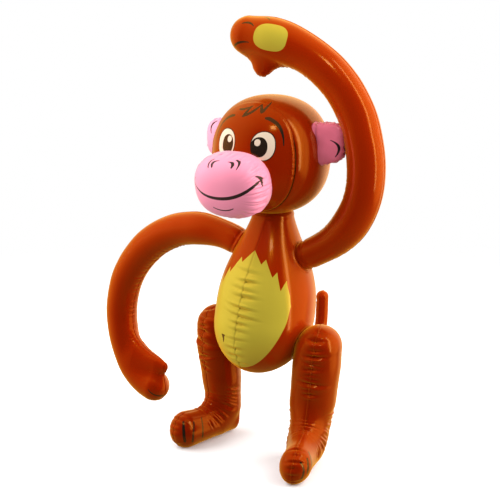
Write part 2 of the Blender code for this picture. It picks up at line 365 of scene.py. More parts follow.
def nearest_places(flat, places):
    """The index of the place nearest to each flat point."""
    nearest = np.empty(len(flat), int)
    for first in range(0, len(flat), POINTS_AT_A_TIME):
        part = flat[first:first + POINTS_AT_A_TIME, None]
        gaps = (part[..., 0] - places[None, :, 0]) ** 2 + (part[..., 1] - places[None, :, 1]) ** 2
        nearest[first:first + POINTS_AT_A_TIME] = gaps.argmin(axis=1)
    return nearest


def nearest_on(line, flat):
    """The place, heading, run and radius of a middle line beside each flat point."""
    places, tangents, runs, radii = line
    nearest = nearest_places(flat, places)
    ahead = ((flat - places[nearest]) * tangents[nearest]).sum(axis=1)
    before = np.clip(nearest - (ahead < 0), 0, len(places) - 2)
    after = before + 1
    first_gap = ((flat - places[before]) * tangents[before]).sum(axis=1)
    second_gap = ((flat - places[after]) * tangents[after]).sum(axis=1)
    share = np.clip(first_gap / (first_gap - second_gap), 0, 1)
    place = places[before] + (places[after] - places[before]) * share[:, None]
    tangent = tangents[before] + (tangents[after] - tangents[before]) * share[:, None]
    tangent /= np.linalg.norm(tangent, axis=1)[:, None]
    run = runs[before] + (runs[after] - runs[before]) * share
    radius = radii[before] + (radii[after] - radii[before]) * share
    return place, tangent, run, radius


def tube_field(points, line, flatness=1.0, blunt=1.0):
    """How far points (out, up, across) stand outside a tube, the way out from it, and the
    run along it of the nearest place."""
    flat = points[:, :2]
    place, tangent, run, radius = nearest_on(line, flat)
    off = flat - place
    lengthways = (off * tangent).sum(axis=1)
    aside = off - tangent * lengthways[:, None]
    stretch = np.where(lengthways < 0, blunt, 1.0)
    ends = lengthways / stretch
    thick = points[:, 2] / flatness
    size = np.sqrt((aside**2).sum(axis=1) + ends**2 + thick**2) + NOT_ZERO
    slope = np.empty_like(points)
    slope[:, :2] = aside + tangent * (ends / stretch)[:, None]
    slope[:, 2] = thick / flatness
    slope /= size[:, None]
    steepness = np.linalg.norm(slope, axis=1)
    return (size - radius) / steepness, slope / steepness[:, None], run


def limb_field(points, limb):
    """The same for two tubes that melt into each other over the limb's web."""
    main, main_way, run = tube_field(points, limb["main"])
    branch, branch_way, _ = tube_field(points, limb["branch"], limb["flatness"], limb["blunt"])
    tight, wide, reach, low, high = limb["web"]
    ahead = np.clip((points[:, 0] - low) / (high - low), 0, 1)
    web = tight + (wide - tight) * ahead * bump(points[:, 2], reach)
    share = np.clip(0.5 + 0.5 * (branch - main) / web, 0, 1)
    height = branch + (main - branch) * share - web * share * (1 - share)
    way = branch_way + (main_way - branch_way) * share[:, None]
    return height, way / np.linalg.norm(way, axis=1)[:, None], run


def tube_blank(bm, line, flatness=1.0, blunt=1.0):
    """Adds a closed tube along a middle line, from a ball whose rows are moved along it."""
    places, tangents, _, radii = line
    rows = len(places) + 2 * CAP_ROWS - 1
    made = bmesh.ops.create_uvsphere(bm, u_segments=TUBE_SEGMENTS, v_segments=rows, radius=1.0)
    for vert in made["verts"]:
        row = round(math.acos(max(-1.0, min(1.0, vert.co.z))) / math.pi * rows)
        around = math.atan2(vert.co.y, vert.co.x)
        index = min(max(row - CAP_ROWS, 0), len(places) - 1)
        over = math.pi / 2 * (row - CAP_ROWS - index) / CAP_ROWS
        reach = radii[index] * math.sin(over) * (blunt if over < 0 else 1.0)
        ring = radii[index] * math.cos(over)
        (ahead_u, ahead_z), (u, z) = tangents[index], places[index]
        inner = ring * math.cos(around)
        across = ring * flatness * math.sin(around)
        vert.co = (u + reach * ahead_u - inner * ahead_z, z + reach * ahead_z + inner * ahead_u, across)


def remeshed(bm, size):
    """The outer skin of overlapping closed shapes, as one even net."""
    blank = bpy.data.objects.new("blank", mesh_from(bm, "blank"))
    bpy.context.scene.collection.objects.link(blank)
    modifier = blank.modifiers.new("net", "REMESH")
    modifier.mode = "VOXEL"
    modifier.voxel_size = size
    graph = bpy.context.evaluated_depsgraph_get()
    mesh = bpy.data.meshes.new_from_object(blank.evaluated_get(graph))
    bpy.data.objects.remove(blank)
    return mesh


def drawn_on(points, limb, rounds=4):
    """Points moved on to the limb's skin."""
    for _ in range(rounds):
        height, way, run = limb_field(points, limb)
        points = points - way * height[:, None]
    return points, way, run


def limb_plane(toe, turn_out, lean):
    """The matrix from (forward, up, across) of a leg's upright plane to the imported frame."""
    forward = Vector((math.sin(turn_out), -math.cos(turn_out), 0))
    across = Vector((math.cos(turn_out), math.sin(turn_out), 0))
    return plane_matrix(BODY_ORIGIN + Vector((*toe, 0)), forward, across, lean)


def arm_plane(side, sweep):
    outward = Vector((side * math.cos(sweep), math.sin(sweep), 0))
    across = Vector((-outward.y, outward.x, 0))
    return plane_matrix(BODY_ORIGIN + Vector((0, ARM_PLANE_Y, 0)), outward, across, 0.0)


def plane_matrix(origin, forward, across, lean):
    up = Vector((0, 0, 1)) + across * lean
    matrix = np.eye(4)
    for column, axis in enumerate((forward, up, across, origin)):
        matrix[:3, column] = axis
    return matrix


def placed(points, matrix):
    return points @ matrix[:3, :3].T + matrix[:3, 3]


# The weld of a limb's two films: cuts beside the seam plane, and the flat edge and the dip.
WELD_CUTS = (0.0, -0.0012, 0.0012, -0.0004, 0.0004)
WELD_SNAP = 0.00012
WELD_HALF_WIDTH = 0.0006
WELD_RISE = 0.0005
WELD_DIP = (-0.0003, 0.0014, 0.0012)


def cut_along_weld(mesh):
    """Cuts the net along planes beside the seam plane, so that the weld has clean edges."""
    bm = bmesh.new()
    bm.from_mesh(mesh)
    for offset in WELD_CUTS:
        geometry = bm.verts[:] + bm.edges[:] + bm.faces[:]
        bmesh.ops.bisect_plane(bm, geom=geometry, dist=WELD_SNAP, plane_co=(0, 0, offset),
                               plane_no=(0, 0, 1), use_snap_center=True)
    bm.to_mesh(mesh)
    bm.free()


def weld_flange(across):
    """The thin flat edge where the two films are welded, and the dip on each side of it."""
    away = np.abs(across)
    return WELD_RISE * (away < WELD_HALF_WIDTH) + ridge(away, *WELD_DIP)


def sideways(way, run, line):
    """How far each way out turns to the left of the tube's heading, from -1 to 1."""
    _, tangents, runs, _ = line
    ahead = [np.interp(run, runs, tangents[:, axis]) for axis in (0, 1)]
    return ahead[0] * way[:, 1] - ahead[1] * way[:, 0]


def limb_skin(limb, matrix, relief):
    """An arm's or a leg's film: a blank, drawn on to the limb, welded, folded and put in place."""
    bm = bmesh.new()
    tube_blank(bm, limb["main"])
    tube_blank(bm, limb["branch"], limb["flatness"], limb["blunt"])
    mesh = remeshed(bm, FILM_VOXEL)
    points, _, _ = drawn_on(points_of(mesh), limb)
    set_points(mesh, points)
    cut_along_weld(mesh)
    points, way, run = drawn_on(points_of(mesh), limb, 2)
    world = placed(points, matrix)
    rng = np.random.default_rng(LIMB_SWELL_SEED)
    height = weld_flange(points[:, 2]) + waviness(points, rng, *LIMB_SWELL)
    height += relief(points, sideways(way, run, limb["main"]), run, world)
    mark(mesh, "seam", points[:, 2] / MM)
    mark_unfolded(mesh, world)
    points = placed(points + way * height[:, None], matrix)
    points[:, 2] = np.maximum(points[:, 2], 0.0)
    set_points(mesh, points)
    return mesh


def limb_shape(main, branch, flatness, blunt, *web):
    """Two tubes that melt together: tightly at their sides, and widely within a reach of
    the seam plane, growing from a low to a high place outward or forward."""
    return {"main": centre_line(main), "branch": centre_line(branch, straight=True),
            "flatness": flatness, "blunt": blunt, "web": web}


# Where folds lie along an arm's run, as (from, to, spacing), and what one of them is like.
ARM_FOLDS, ARM_FOLD = (0.12, 0.36, 0.011), (0.0013, 0.0015, 0.010)
WRIST_FOLDS, WRIST_FOLD = (0.36, 0.46, 0.006), (0.0011, 0.0013, 0.008)
SHOULDER_FOLDS, SHOULDER_FOLD = (0.045, 0.10, 0.014), (0.0012, 0.0015, 0.010)
ARM_ROOT_ROLL = (0.0004, 0.0035, 0.0016)
ARM_ROOT_GROOVE = (-0.0008, 0.0070, 0.0022)


def arm_relief(bend, seed):
    """Folds along the inner side of the bend, and rings where the arm leaves the torso."""
    def relief(points, side, run, world):
        rng = np.random.default_rng(seed)
        across = points[:, 2]
        inner = np.clip(side * bend, 0, 1) ** 0.5
        height = inner * gathers(run, across, scattered(*ARM_FOLDS, rng), rng, *ARM_FOLD)
        height += inner * gathers(run, across, scattered(*WRIST_FOLDS, rng), rng, *WRIST_FOLD)
        gap = outside_torso(world)
        around = 1 + 0.3 * np.sin(6 * np.arctan2(across, side * 0.02))
        height += around * (ridge(gap, *ARM_ROOT_ROLL) + ridge(gap, *ARM_ROOT_GROOVE))
        shoulder = gathers(run, across, scattered(*SHOULDER_FOLDS, rng), rng, *SHOULDER_FOLD)
        return height + 0.5 * np.abs(side) * shoulder
    return relief


# A leg's creases. The knee's lie at depths below its middle; the ankle's fan round a point
# above the instep, at angles as (from, to, spacing); the toe's lie round its middle.
KNEE_Z = 0.150
KNEE_FOLDS = (-0.0275, -0.007, 0.010, 0.030)
KNEE_FOLD = (0.0070, 0.0028, 0.014, 0.22)
KNEE_PUCKERS = (-0.036, -0.0215, -0.0150, -0.001, 0.0035, 0.0165, 0.0225, 0.037, 0.045)
KNEE_PUCKER = (0.0040, 0.0019, 0.0080, 0.30)
ANKLE_BEND = (-0.013, 0.078)
ANKLE_SIDE = 0.057
ANKLE_FAN, ANKLE_CREASE = (0.02, 1.25, 0.085), (0.0022, 0.0014, 0.009)
ANKLE_FRONT = 0.034
ANKLE_PINCHES, ANKLE_PINCH = (0.25, 1.2, 0.14), (0.0024, 0.0014, 0.011)
TOE_MIDDLE = (-0.006, 0.0215)
TOE_ROUND = 0.024
TOE_FOLDS = (-0.014, -0.003, 0.006, 0.013, 0.021, 0.029)
TOE_FOLD = (0.0024, 0.0018, 0.009)


def knee_relief(points, rng):
    below = KNEE_Z - points[:, 1]
    height = gathers(below, points[:, 2], KNEE_FOLDS, rng, *KNEE_FOLD)
    return height + gathers(below, points[:, 2], KNEE_PUCKERS, rng, *KNEE_PUCKER)


def leg_relief(seed):
    """Folds over the knee, a fan of creases round the ankle and folds over the toe."""
    def relief(points, side, *_):
        rng = np.random.default_rng(seed)
        across = points[:, 2]
        height = knee_relief(points, rng) * np.clip(side, 0, 1) ** 0.5
        off = points[:, :2] - np.array(ANKLE_BEND)
        reach = np.hypot(off[:, 0], off[:, 1])
        turn = np.arctan2(-off[:, 1], -off[:, 0])
        fan = [spot * ANKLE_SIDE for spot in scattered(*ANKLE_FAN, rng)]
        height += gathers(turn * ANKLE_SIDE, reach - ANKLE_SIDE, fan, rng, *ANKLE_CREASE)
        pinches = [spot * ANKLE_FRONT for spot in scattered(*ANKLE_PINCHES, rng)]
        pinched = gathers(turn * ANKLE_FRONT, across, pinches, rng, *ANKLE_PINCH)
        height += bump(reach - ANKLE_FRONT, 0.012) * pinched
        off = points[:, :2] - np.array(TOE_MIDDLE)
        round_toe = np.arctan2(off[:, 1], off[:, 0]) * TOE_ROUND
        toe = np.clip(off[:, 0] / 0.008, 0, 1)
        return height + toe * gathers(round_toe, across, TOE_FOLDS, rng, *TOE_FOLD)
    return relief


# --- Shader helpers ---------------------------------------------------------------------
# How fast a print's edge fades in a millimetre, the film's cloudiness and grain, and how far
# from a weld its dark line reaches, in millimetres, and how much rougher it is.
EDGE_SHARPNESS = 6.0
CLOUD_SCALE = 28.0
GRAIN_SCALE = 420.0
WELD_LINE = 1.6
WELD_ROUGHNESS = 0.12


def wire(tree, kind, *sources, **settings):
    """A new node whose first inputs are fed by sockets or set to values."""
    made = tree.nodes.new(kind)
    for name, value in settings.items():
        setattr(made, name, value)
    for socket, source in zip(made.inputs, sources):
        if isinstance(source, bpy.types.NodeSocket):
            tree.links.new(source, socket)
        elif source is not None:
            socket.default_value = source
    return made


def maths(tree, operation, *sources, clamp=False):
    return wire(tree, "ShaderNodeMath", *sources, operation=operation, use_clamp=clamp).outputs[0]


def vectors(tree, operation, *sources):
    made = wire(tree, "ShaderNodeVectorMath", *sources, operation=operation)
    return made.outputs["Value" if operation in ("DOT_PRODUCT", "LENGTH") else "Vector"]


def split(tree, vector):
    return wire(tree, "ShaderNodeSeparateXYZ", vector).outputs


def layered(tree, mask, under, over):
    """One colour over another, by mask."""
    made = tree.nodes.new("ShaderNodeMix")
    made.data_type = "RGBA"
    for socket, source in ((made.inputs[0], mask), (made.inputs[6], under), (made.inputs[7], over)):
        if isinstance(source, bpy.types.NodeSocket):
            tree.links.new(source, socket)
        else:
            socket.default_value = (*source, 1.0)
    return made.outputs[2]


def printed(tree, mask, front, under, ink):
    """Ink where a mask shows, on the side of the film that faces the print's plate."""
    return layered(tree, maths(tree, "MULTIPLY", mask, front), under, ink)


def sharpened(tree, edge):
    """A mask from how far inside its edge a point lies, in millimetres."""
    return maths(tree, "MULTIPLY_ADD", edge, EDGE_SHARPNESS, 0.5, clamp=True)


def noise(tree, place, scale):
    made = wire(tree, "ShaderNodeTexNoise", place)
    made.inputs["Scale"].default_value = scale
    made.inputs["Detail"].default_value = 2.0
    return made.outputs[0]


def new_group(name, inputs, outputs):
    """A shader group with named sockets; returns it with its input sockets and its end."""
    group = bpy.data.node_groups.new(name, "ShaderNodeTree")
    for label, kind, value in inputs:
        socket = group.interface.new_socket(label, in_out="INPUT", socket_type=f"NodeSocket{kind}")
        socket.default_value = value
    for label, kind in outputs:
        group.interface.new_socket(label, in_out="OUTPUT", socket_type=f"NodeSocket{kind}")
    return group, group.nodes.new("NodeGroupInput").outputs, group.nodes.new("NodeGroupOutput").inputs


def use_group(tree, group, **values):
    made = tree.nodes.new("ShaderNodeGroup")
    made.node_tree = group
    for label, value in values.items():
        socket = made.inputs[label.replace("_", " ").title()]
        if isinstance(value, bpy.types.NodeSocket):
            tree.links.new(value, socket)
        else:
            socket.default_value = value
    return made.outputs


def print_plate_group():
    """Where a point lies on a flat print plate, in millimetres, and whether it faces it."""
    group, given, end = new_group(
        "print plate",
        (("Position", "Vector", (0, 0, 0)), ("Origin", "Vector", (0, 0, 0)),
         ("Right", "Vector", (1, 0, 0)), ("Up", "Vector", (0, 0, 1)), ("Facing", "Vector", (0, -1, 0))),
        (("Point", "Vector"), ("Front", "Float")),
    )
    off = vectors(group, "SUBTRACT", given["Position"], given["Origin"])
    right = maths(group, "DIVIDE", vectors(group, "DOT_PRODUCT", off, given["Right"]), MM)
    up = maths(group, "DIVIDE", vectors(group, "DOT_PRODUCT", off, given["Up"]), MM)
    depth = maths(group, "DIVIDE", vectors(group, "DOT_PRODUCT", off, given["Facing"]), MM, clamp=True)
    group.links.new(wire(group, "ShaderNodeCombineXYZ", right, up).outputs[0], end["Point"])
    group.links.new(depth, end["Front"])
    return group


def unrolled_group():
    """Flattens a print point off a round body with the given radii, in millimetres."""
    group, given, end = new_group(
        "unrolled print",
        (("Point", "Vector", (0, 0, 0)), ("Radii", "Vector", (70, 70, 1))),
        (("Point", "Vector"),),
    )
    flat = split(group, given["Point"])
    radii = split(group, given["Radii"])
    sides = []
    for axis in range(2):
        share = maths(group, "DIVIDE", flat[axis], radii[axis])
        limited = maths(group, "MINIMUM", maths(group, "MAXIMUM", share, -1.0), 1.0)
        sides.append(maths(group, "MULTIPLY", maths(group, "ARCSINE", limited), radii[axis]))
    group.links.new(wire(group, "ShaderNodeCombineXYZ", *sides).outputs[0], end["Point"])
    return group


def stroke_group():
    """A brush stroke from start to end, bowed to its left, with half widths in millimetres."""
    group, given, end = new_group(
        "printed stroke",
        (("Point", "Vector", (0, 0, 0)), ("Start", "Vector", (0, 0, 0)), ("End", "Vector", (1, 0, 0)),
         ("Bow", "Float", 0.0), ("Start Width", "Float", 1.0), ("Middle Width", "Float", 1.0),
         ("End Width", "Float", 1.0)),
        (("Mask", "Float"),),
    )
    chord = vectors(group, "SUBTRACT", given["End"], given["Start"])
    length = vectors(group, "LENGTH", chord)
    way = vectors(group, "NORMALIZE", chord)
    off = vectors(group, "SUBTRACT", given["Point"], given["Start"])
    left = vectors(group, "CROSS_PRODUCT", (0.0, 0.0, 1.0), way)
    run = vectors(group, "DOT_PRODUCT", off, way)
    share = maths(group, "DIVIDE", run, length)
    rest = maths(group, "SUBTRACT", 1.0, share)
    hump = maths(group, "MULTIPLY", share, rest)
    arch = maths(group, "MULTIPLY", maths(group, "MULTIPLY", hump, given["Bow"]), 4.0)
    gap = maths(group, "SUBTRACT", vectors(group, "DOT_PRODUCT", off, left), arch)
    first = maths(group, "MULTIPLY", given["Start Width"], maths(group, "MULTIPLY", rest, rest))
    middle = maths(group, "MULTIPLY", maths(group, "MULTIPLY", hump, 2.0), given["Middle Width"])
    last = maths(group, "MULTIPLY", given["End Width"], maths(group, "MULTIPLY", share, share))
    width = maths(group, "ADD", maths(group, "ADD", first, middle), last)
    inset = maths(group, "MULTIPLY", maths(group, "MINIMUM", share, rest), length)
    closing = maths(group, "SQRT", maths(group, "DIVIDE", inset, width, clamp=True))
    reach = maths(group, "MULTIPLY", width, closing)
    soft = sharpened(group, maths(group, "SUBTRACT", reach, maths(group, "ABSOLUTE", gap)))
    inside = maths(group, "GREATER_THAN", inset, 0.0)
    group.links.new(maths(group, "MULTIPLY", soft, inside), end["Mask"])
    return group


def spot_group():
    """A filled oval, tilted anticlockwise, whose power above 2 squares it."""
    group, given, end = new_group(
        "printed spot",
        (("Point", "Vector", (0, 0, 0)), ("Centre", "Vector", (0, 0, 0)),
         ("Size", "Vector", (1, 1, 1)), ("Tilt", "Float", 0.0), ("Power", "Float", 2.0)),
        (("Mask", "Float"),),
    )
    off = vectors(group, "SUBTRACT", given["Point"], given["Centre"])
    turned = wire(group, "ShaderNodeVectorRotate", off, None, (0, 0, 1), rotation_type="Z_AXIS")
    group.links.new(maths(group, "MULTIPLY", given["Tilt"], -math.pi / 180), turned.inputs["Angle"])
    shares = split(group, vectors(group, "DIVIDE", turned.outputs[0], given["Size"]))
    sides = [maths(group, "ABSOLUTE", shares[axis]) for axis in (0, 1)]
    powered = [maths(group, "POWER", side, given["Power"]) for side in sides]
    root = maths(group, "DIVIDE", 1.0, given["Power"])
    size = maths(group, "POWER", maths(group, "ADD", *powered), root)
    small = maths(group, "MINIMUM", *split(group, given["Size"])[:2])
    edge = maths(group, "MULTIPLY", maths(group, "SUBTRACT", 1.0, size), small)
    group.links.new(sharpened(group, edge), end["Mask"])
    return group


def film_group():
    """Uneven gloss and tone of thin blown film, and the dark line along its welds."""
    group, given, end = new_group(
        "blown film",
        (("Colour", "Color", (1, 1, 1, 1)), ("Roughness", "Float", 0.1), ("Seam", "Float", 10.0),
         ("Weld", "Float", 0.5), ("Unevenness", "Float", 0.1)),
        (("Colour", "Color"), ("Roughness", "Float"), ("Height", "Float")),
    )
    place = group.nodes.new("ShaderNodeTexCoord").outputs["Object"]
    cloud = noise(group, place, CLOUD_SCALE)
    grain = noise(group, place, GRAIN_SCALE)
    drift = maths(group, "MULTIPLY_ADD", cloud, given["Unevenness"], 1.0)
    tone = maths(group, "SUBTRACT", drift, maths(group, "MULTIPLY", given["Unevenness"], 0.5))
    near = maths(group, "SUBTRACT", WELD_LINE, maths(group, "ABSOLUTE", given["Seam"]), clamp=True)
    weld = maths(group, "MULTIPLY", near, given["Weld"])
    darker = maths(group, "MULTIPLY", tone, maths(group, "SUBTRACT", 1.0, weld))
    group.links.new(vectors(group, "SCALE", given["Colour"], None, None, darker), end["Colour"])
    gloss = maths(group, "MULTIPLY", given["Roughness"], tone)
    group.links.new(maths(group, "MULTIPLY_ADD", weld, WELD_ROUGHNESS, gloss), end["Roughness"])
    group.links.new(grain, end["Height"])
    return group


PLATE = print_plate_group()
UNROLLED = unrolled_group()
STROKE = stroke_group()
SPOT = spot_group()
FILM = film_group()


def plate_point(tree, origin, right, up, facing):
    place = wire(tree, "ShaderNodeAttribute", attribute_name="unfolded").outputs["Vector"]
    return use_group(tree, PLATE, position=place, origin=origin, right=right, up=up, facing=facing)


def strokes_mask(tree, point, strokes):
    """All strokes of (start, end, bow, start, middle and end half width) as one mask."""
    mask = 0.0
    for start, end, bow, *widths in strokes:
        first, middle, last = (width * INK_SPREAD for width in widths)
        one = use_group(tree, STROKE, point=point, start=(*start, 0), end=(*end, 0), bow=bow,
                        start_width=first, middle_width=middle, end_width=last)
        mask = maths(tree, "MAXIMUM", mask, one[0])
    return mask


def spot_mask(tree, point, centre, size, tilt, power):
    spot = use_group(tree, SPOT, point=point, centre=(*centre, 0), size=(*size, 1), tilt=tilt,
                     power=power)
    return spot["Mask"]


BROWN_SHEEN = (1.0, 0.45, 0.02)
PINK_SHEEN = (1.0, 0.80, 0.88)
GRAIN_STRENGTH = 0.03
GRAIN_DEPTH = 0.0002


def vinyl(name, colour, paint=None, weld=0.2, roughness=0.17, tint=BROWN_SHEEN, level=0.9,
          gloss=0.20, haze=1.0):
    """Film with a broad tinted sheen under a thin clear gloss. paint lays prints on it."""
    material = bpy.data.materials.new(name)
    material.use_nodes = True
    tree = material.node_tree
    shader = tree.nodes["Principled BSDF"]
    seam = wire(tree, "ShaderNodeAttribute", attribute_name="seam").outputs["Fac"]
    painted = paint(tree, colour) if paint else (*colour, 1.0)
    film = use_group(tree, FILM, colour=painted, roughness=roughness, seam=seam, weld=weld)
    tree.links.new(film["Colour"], shader.inputs["Base Color"])
    tree.links.new(film["Roughness"], shader.inputs["Roughness"])
    grain = wire(tree, "ShaderNodeBump", GRAIN_STRENGTH, GRAIN_DEPTH)
    tree.links.new(film["Height"], grain.inputs["Height"])
    tree.links.new(grain.outputs[0], shader.inputs["Normal"])
    for socket, value in (
            ("IOR", 1.6), ("Specular IOR Level", level), ("Specular Tint", (*tint, 1.0)),
            ("Coat Weight", gloss), ("Coat Roughness", 0.05),
            ("Sheen Weight", haze), ("Sheen Roughness", 0.4), ("Sheen Tint", (*tint, 1.0))):
        shader.inputs[socket].default_value = value
    return material


def pink_vinyl(name, colour, paint):
    return vinyl(f"pink vinyl {name}", colour, paint, weld=0.22, roughness=0.36, tint=PINK_SHEEN,
                 level=0.5, gloss=0.25, haze=0.4)


# --- Prints -----------------------------------------------------------------------------
# Places on the print plates are in millimetres. The face's plate is turned a little towards
# the head's own left.
FACE_TURN = math.radians(5.3)
# Strokes: start, end, bow to the left, then half widths at start, middle and end. The ink
# spreads to a little more than the widths that are given.
INK_SPREAD = 1.25
LEFT_BROW = ((22.2, 57.4), (52.8, 19.0), 7.6, 2.3, 1.6, 0.6)
RIGHT_BROW = ((-22.4, 59.4), (-52.6, 22.0), -8.5, 2.4, 1.4, 0.5)
TUFT = (
    ((-20.5, 69.5), (-1.4, 78.2), -2.8, 1.8, 2.0, 0.4),
    ((-1.2, 78.6), (-7.2, 57.8), -0.8, 0.4, 1.5, 2.2),
    ((-10.0, 57.4), (9.6, 81.8), -4.0, 1.3, 2.7, 0.4),
    ((9.2, 82.0), (16.4, 64.2), -0.6, 0.4, 1.7, 2.1),
    ((14.8, 63.4), (18.4, 87.4), -1.2, 1.6, 1.9, 0.4),
)
EYE_RIM = 1.2
EYE_SQUARENESS = 2.1
EYES = (
    # centre and half size of the white, the pupil and the glint; tilt
    ((27.0, 18.9), (15.0, 17.7), (22.0, 17.3), (10.9, 12.6), (19.8, 22.9), (3.9, 4.3), 5.0),
    ((-27.2, 19.8), (15.0, 18.7), (-23.8, 18.8), (9.7, 12.7), (-21.0, 25.4), (3.6, 4.1), -5.0),
)


def face_paint(tree, colour):
    right = (math.cos(FACE_TURN), math.sin(FACE_TURN), 0)
    facing = (math.sin(FACE_TURN), -math.cos(FACE_TURN), 0)
    flat, front = plate_point(tree, HEAD_CENTRE, right, (0, 0, 1), facing)
    radius = HEAD_RADIUS / MM
    point = use_group(tree, UNROLLED, point=flat, radii=(radius, radius, 1))[0]
    for white_at, white, pupil_at, pupil, glint_at, glint, tilt in EYES:
        rim = [half + EYE_RIM for half in white]
        for centre, size, ink in ((white_at, rim, PRINT_BLACK), (white_at, white, EYE_WHITE),
                                  (pupil_at, pupil, PRINT_BLACK), (glint_at, glint, EYE_WHITE)):
            mask = spot_mask(tree, point, centre, size, tilt, EYE_SQUARENESS)
            colour = printed(tree, mask, front, colour, ink)
    lines = strokes_mask(tree, point, (LEFT_BROW, RIGHT_BROW, *TUFT))
    return printed(tree, lines, front, colour, PRINT_BLACK)


# The belly patch: its top edge as (distance from the seam, height), and its egg below.
BELLY_TOP = (
    (0, 284), (14, 268.5), (17.5, 274.5), (31.4, 253.5), (34.3, 259.5), (43.8, 237), (45.6, 249),
    (53, 230), (60, 200),
)
BELLY_EGG_Z = 203
BELLY_EGG = (56, 71)
BELLY_EGG_POWER = 1.85
BELLY_TOP_SHARPNESS = 3.0
# The belly's seam leans: it runs through this place and slants over as it goes up.
SEAM_X = 1.2 * MM
SEAM_Z = 0.2
SEAM_SLANT = 0.05
BELLY_FACES_UP = 0.13
NAVEL = (
    ((-23.8, 175.6), (-16.8, 175.2), -0.8, 0.7, 1.9, 1.2),
    ((-22.0, 176.6), (-20.6, 164.8), 1.6, 2.0, 1.6, 0.35),
)


def seam_plate(tree):
    """Print point on the front of the torso: distance from the slanting seam, and height."""
    origin = BODY_ORIGIN + Vector((SEAM_X, 0, 0))
    origin.x -= SEAM_SLANT * SEAM_Z
    return plate_point(tree, origin, (1, 0, -SEAM_SLANT), (0, 0, 1), (0, -1, BELLY_FACES_UP))


def belly_top(tree, away):
    """The height of the patch's jagged top edge at a distance from the seam."""
    (_, high), (last, low) = BELLY_TOP[0], BELLY_TOP[-1]
    edge = tree.nodes.new("ShaderNodeFloatCurve")
    curve = edge.mapping.curves[0]
    for _ in BELLY_TOP[2:]:
        curve.points.new(0.5, 0.5)
    for spot, (out, up) in zip(curve.points, BELLY_TOP):
        spot.location = (out / last, (up - low) / (high - low))
        spot.handle_type = "VECTOR"
    edge.mapping.update()
    tree.links.new(maths(tree, "DIVIDE", away, last), edge.inputs["Value"])
    return maths(tree, "MULTIPLY_ADD", edge.outputs[0], high - low, low)


def torso_paint(tree, colour):
    point, front = seam_plate(tree)
    side, height = split(tree, point)[:2]
    away = maths(tree, "ABSOLUTE", side)
    room = maths(tree, "SUBTRACT", belly_top(tree, away), height)
    under = maths(tree, "MULTIPLY_ADD", room, BELLY_TOP_SHARPNESS, 0.5, clamp=True)
    drop = maths(tree, "MAXIMUM", maths(tree, "SUBTRACT", BELLY_EGG_Z, height), 0.0)
    low_point = wire(tree, "ShaderNodeCombineXYZ", away, drop).outputs[0]
    egg = spot_mask(tree, low_point, (0, 0), BELLY_EGG, 0.0, BELLY_EGG_POWER)
    colour = printed(tree, maths(tree, "MULTIPLY", under, egg), front, colour, YELLOW)
    navel = strokes_mask(tree, point, NAVEL)
    return printed(tree, navel, front, colour, PRINT_BLACK)


MUZZLE_ROLL = math.radians(3)
MUZZLE_SHIFT = 0.003
MUZZLE_LINES = (
    # smile, its two corners and the chin
    ((-54.5, 11.0), (53.9, 10.0), -16.1, 0.6, 2.3, 1.5),
    ((48.4, 17.7), (54.8, 1.4), 2.6, 0.8, 0.45, 0.25),
    ((-48.4, 17.7), (-54.9, 1.4), -2.6, 0.8, 0.45, 0.25),
    ((-16.4, -18.8), (14.6, -19.8), -4.2, 0.6, 1.1, 0.6),
    # nostrils, inner and outer line on each side
    ((-11.4, 34.6), (-3.3, 47.0), 4.8, 2.1, 1.6, 0.5),
    ((-17.0, 34.0), (-12.2, 50.0), 3.4, 0.8, 1.25, 0.5),
    ((16.9, 33.2), (8.8, 44.0), -3.7, 2.0, 1.4, 0.45),
    ((23.4, 30.4), (17.2, 45.5), -3.9, 0.65, 1.4, 0.5),
)


def muzzle_paint(tree, colour):
    turn = Matrix.Rotation(MUZZLE_TILT, 3, "X") @ Matrix.Rotation(-MUZZLE_ROLL, 3, "Y")
    origin = MUZZLE_CENTRE + Vector((MUZZLE_SHIFT, 0, 0))
    flat, front = plate_point(tree, origin, turn.col[0], turn.col[2], -turn.col[1])
    radii = (MUZZLE_SEMI_AXES.x / MM, MUZZLE_SEMI_AXES.z / MM, 1)
    point = use_group(tree, UNROLLED, point=flat, radii=radii)[0]
    lines = strokes_mask(tree, point, MUZZLE_LINES)
    return printed(tree, lines, front, colour, PRINT_BLACK)


# Each ear's fold line, in its own plane from its centre, in millimetres.
EAR_LINES = {
    1: ((6.4, 5.4), (13.2, -15.6), 8.0, 0.6, 1.8, 1.0),
    -1: ((2.0, 23.6), (-4.2, 6.0), -4.8, 0.8, 1.6, 0.9),
}


def ear_paint(side, centre, turn):
    def paint(tree, colour):
        point, front = plate_point(tree, centre, turn.col[0], (0, 0, 1), -turn.col[1])
        line = strokes_mask(tree, point, (EAR_LINES[side],))
        return printed(tree, line, front, colour, PRINT_BLACK)
    return paint


# Prints on the limbs, in each limb's upright plane: millimetres outward or forward, and up.
# A palm patch is its centre, half size, tilt and squareness.
RAISED_PALM = ((9.6, 552.4), (22.6, 16.2), -10, 2.7)
RAISED_FINGERS = (
    ((-33.0, 569.6), (-14.6, 566.2), 2.6, 0.5, 1.5, 0.4),
    ((-46.2, 540.6), (-20.2, 546.4), 3.0, 1.2, 1.3, 0.4),
    ((-9.6, 577.4), (3.6, 573.4), 1.4, 0.3, 0.9, 0.3),
)
LOWERED_PALM = ((214.0, 66.0), (17.0, 22.0), 12, 2.5)
LOWERED_FINGERS = (((203.0, 42.6), (186.0, 27.6), 1.6, 0.4, 1.1, 1.2),)
RIGHT_TOE_LINES = (
    ((9.0, 41.4), (10.4, 11.6), 3.2, 0.8, 1.6, 1.2),
    ((-4.4, 39.6), (0.4, 9.8), 2.4, 0.8, 1.5, 1.2),
    ((-19.2, 40.4), (-16.6, 12.2), 1.4, 0.8, 1.5, 1.2),
)
